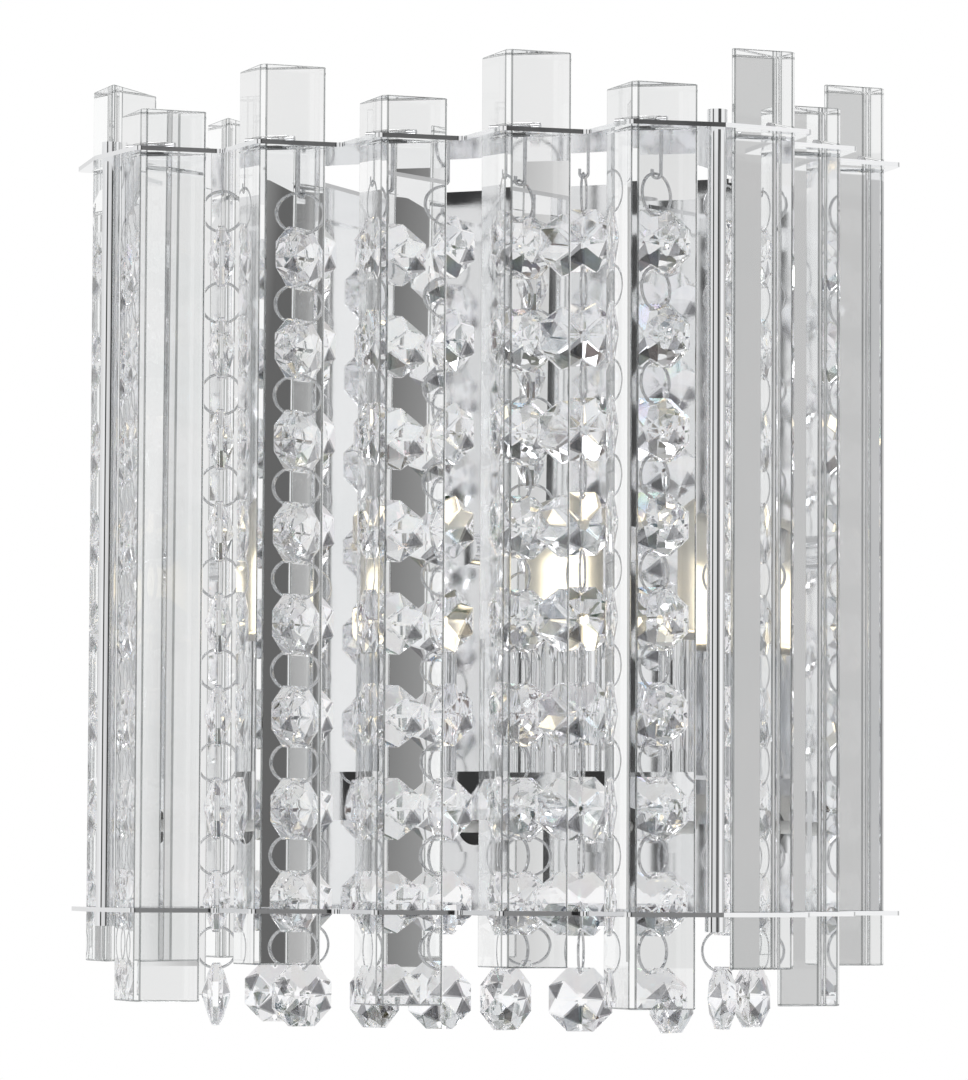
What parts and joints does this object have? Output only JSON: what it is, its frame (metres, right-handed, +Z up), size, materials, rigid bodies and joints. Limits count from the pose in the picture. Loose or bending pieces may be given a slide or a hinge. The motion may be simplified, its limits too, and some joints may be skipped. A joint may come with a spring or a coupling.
{
  "type": "crystal wall lamp",
  "caption": "Wall lamp with toothed chrome plates holding clear glass prism bars, hanging strands of octagon crystals, and capsule bulbs in chrome cups.",
  "frame": {"origin": "centre of the two wall slots, on the wall plane", "axes": "+X to the lamp's right seen from the front, +Y into the wall, +Z up"},
  "size_m": [0.1792, 0.1206, 0.2138],
  "materials": {
    "bar_glass": "polished",
    "crystal": "polished",
    "bulb_glass": "polished",
    "chrome": "mirror",
    "wire_chrome": "polished",
    "steel": "plated",
    "ceramic": "glazed",
    "lead_sleeve": "satin",
    "grommet_rubber": "matt",
    "terminal_plastic": "matt"
  },
  "bodies": {
    "frame": {"back_box": "chrome", "bar_pins": "steel", "bottom_plate": "chrome", "bracket_studs": "steel", "earth_screw": "steel", "glass_bar_01": "bar_glass", "glass_bar_02": "bar_glass", "glass_bar_03": "bar_glass", "glass_bar_04": "bar_glass", "glass_bar_05": "bar_glass", "glass_bar_06": "bar_glass", "glass_bar_07": "bar_glass", "glass_bar_08": "bar_glass", "glass_bar_09": "bar_glass", "glass_bar_10": "bar_glass", "glass_bar_11": "bar_glass", "holder_bracket": "chrome", "holder_leads": "lead_sleeve", "holder_nuts": "steel", "holder_sleeve_left": "chrome", "holder_sleeve_right": "chrome", "lamp_holder_left": "ceramic", "lamp_holder_right": "ceramic", "plate_screws": "steel", "shelf_screws": "steel", "strand_hooks": "wire_chrome", "stud_cap_nuts": "chrome", "terminal_block": "terminal_plastic", "tie_rod_left": "chrome", "tie_rod_nuts": "chrome", "tie_rod_right": "chrome", "top_plate": "chrome", "wall_bracket": "steel", "wire_grommets": "grommet_rubber"},
    "strand_01": {"strand_01_crystals": "crystal", "strand_01_rings": "wire_chrome"},
    "strand_02": {"strand_02_crystals": "crystal", "strand_02_rings": "wire_chrome"},
    "strand_03": {"strand_03_crystals": "crystal", "strand_03_rings": "wire_chrome"},
    "strand_04": {"strand_04_crystals": "crystal", "strand_04_rings": "wire_chrome"},
    "strand_05": {"strand_05_crystals": "crystal", "strand_05_rings": "wire_chrome"},
    "strand_06": {"strand_06_crystals": "crystal", "strand_06_rings": "wire_chrome"},
    "strand_07": {"strand_07_crystals": "crystal", "strand_07_rings": "wire_chrome"},
    "strand_08": {"strand_08_crystals": "crystal", "strand_08_rings": "wire_chrome"},
    "strand_09": {"strand_09_crystals": "crystal", "strand_09_rings": "wire_chrome"},
    "strand_10": {"strand_10_crystals": "crystal", "strand_10_rings": "wire_chrome"},
    "strand_11": {"strand_11_crystals": "crystal", "strand_11_rings": "wire_chrome"},
    "lamp_left": {"bulb_left": "bulb_glass", "bulb_base_left": "ceramic"},
    "lamp_right": {"bulb_right": "bulb_glass", "bulb_base_right": "ceramic"}
  },
  "joints": [
    {"name": "strand_01_swing", "type": "hinge", "parent": "frame", "child": "strand_01", "pos_m": [-0.0555, -0.085, 0.0792], "axis": [1, 0, 0], "range_deg": [-2, 2]},
    {"name": "strand_02_swing", "type": "hinge", "parent": "frame", "child": "strand_02", "pos_m": [-0.034, -0.085, 0.0792], "axis": [1, 0, 0], "range_deg": [-2, 2]},
    {"name": "strand_03_swing", "type": "hinge", "parent": "frame", "child": "strand_03", "pos_m": [-0.016, -0.085, 0.0792], "axis": [1, 0, 0], "range_deg": [-2, 2]},
    {"name": "strand_04_swing", "type": "hinge", "parent": "frame", "child": "strand_04", "pos_m": [0, -0.085, 0.0792], "axis": [1, 0, 0], "range_deg": [-2, 2]},
    {"name": "strand_05_swing", "type": "hinge", "parent": "frame", "child": "strand_05", "pos_m": [0.016, -0.085, 0.0792], "axis": [1, 0, 0], "range_deg": [-2, 2]},
    {"name": "strand_06_swing", "type": "hinge", "parent": "frame", "child": "strand_06", "pos_m": [0.034, -0.085, 0.0792], "axis": [1, 0, 0], "range_deg": [-2, 2]},
    {"name": "strand_07_swing", "type": "hinge", "parent": "frame", "child": "strand_07", "pos_m": [0.0555, -0.085, 0.0792], "axis": [1, 0, 0], "range_deg": [-2, 2]},
    {"name": "strand_08_swing", "type": "hinge", "parent": "frame", "child": "strand_08", "pos_m": [-0.0555, -0.054, 0.0792], "axis": [0, 1, 0], "range_deg": [-2, 2]},
    {"name": "strand_09_swing", "type": "hinge", "parent": "frame", "child": "strand_09", "pos_m": [-0.0555, -0.035, 0.0792], "axis": [0, 1, 0], "range_deg": [-2, 2]},
    {"name": "strand_10_swing", "type": "hinge", "parent": "frame", "child": "strand_10", "pos_m": [0.0555, -0.054, 0.0792], "axis": [0, 1, 0], "range_deg": [-2, 2]},
    {"name": "strand_11_swing", "type": "hinge", "parent": "frame", "child": "strand_11", "pos_m": [0.0555, -0.035, 0.0792], "axis": [0, 1, 0], "range_deg": [-2, 2]},
    {"name": "lamp_left_pull", "type": "slide", "parent": "frame", "child": "lamp_left", "axis": [0, 0, 1], "range_m": [0, 0.018]},
    {"name": "lamp_right_pull", "type": "slide", "parent": "frame", "child": "lamp_right", "axis": [0, 0, 1], "range_m": [0, 0.018]}
  ]
}
